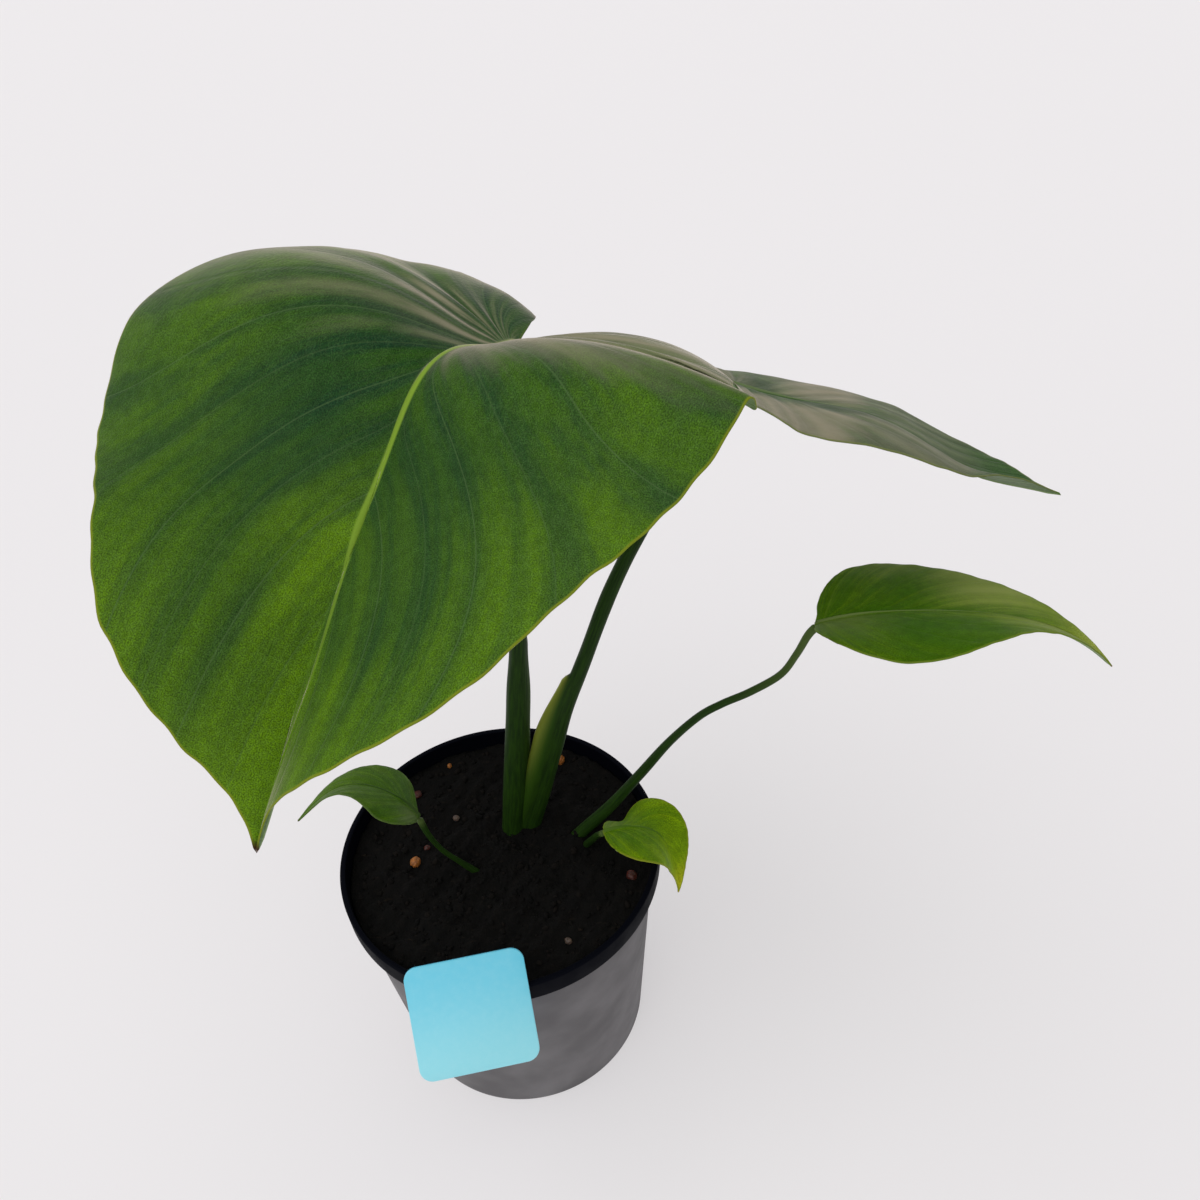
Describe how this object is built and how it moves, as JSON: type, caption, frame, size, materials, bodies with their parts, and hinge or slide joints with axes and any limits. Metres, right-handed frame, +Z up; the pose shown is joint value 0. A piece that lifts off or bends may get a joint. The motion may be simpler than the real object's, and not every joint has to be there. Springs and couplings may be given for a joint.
{
  "type": "potted swiss cheese plant",
  "caption": "Young swiss cheese plant with arching heart-shaped leaves on slender stalks, in a round nursery pot of soil with a bare card on its rim.",
  "frame": {"origin": "middle of the pot's underside, on the surface that it stands on", "axes": "+Z up, -Y towards the card on the rim, +X towards the side that the longest stalks lean to"},
  "size_m": [0.2587, 0.1886, 0.2843],
  "materials": {
    "pot_plastic": "satin black injection-moulded plastic",
    "potting_mix": "dark crumbly potting mix of peat and fine bark",
    "root": "dull brown buried stem",
    "stalk": "smooth green stalk with a soft sheen",
    "stalk_sheathed": "smooth green stalk with a yellow-green sheath at its foot",
    "leaf_large": "deep green leaf with a yellow-green midrib and a waxy sheen",
    "leaf_behind": "grey-green leaf with a waxy sheen",
    "leaf_right": "smooth mid-green leaf",
    "leaf_new": "smooth bright yellow-green young leaf",
    "bead_orange": "dull resin-coated feed bead",
    "bead_red": "dull resin-coated feed bead",
    "bead_pale": "dull resin-coated feed bead",
    "card": "smooth satin pale blue card"
  },
  "bodies": {
    "root": {"pot": "pot_plastic", "soil": "potting_mix", "rootstock": "root", "petiole_large": "stalk", "petiole_behind": "stalk_sheathed", "petiole_right": "stalk", "petiole_small_right": "stalk", "petiole_small_left": "stalk", "blade_large": "leaf_large", "blade_behind": "leaf_behind", "blade_right": "leaf_right", "blade_small_right": "leaf_new", "blade_small_left": "leaf_right", "bead_1": "bead_orange", "bead_2": "bead_red", "bead_3": "bead_pale", "bead_4": "bead_orange", "bead_5": "bead_red", "bead_6": "bead_orange", "bead_7": "bead_red", "bead_8": "bead_pale", "label": "card"}
  },
  "joints": []
}
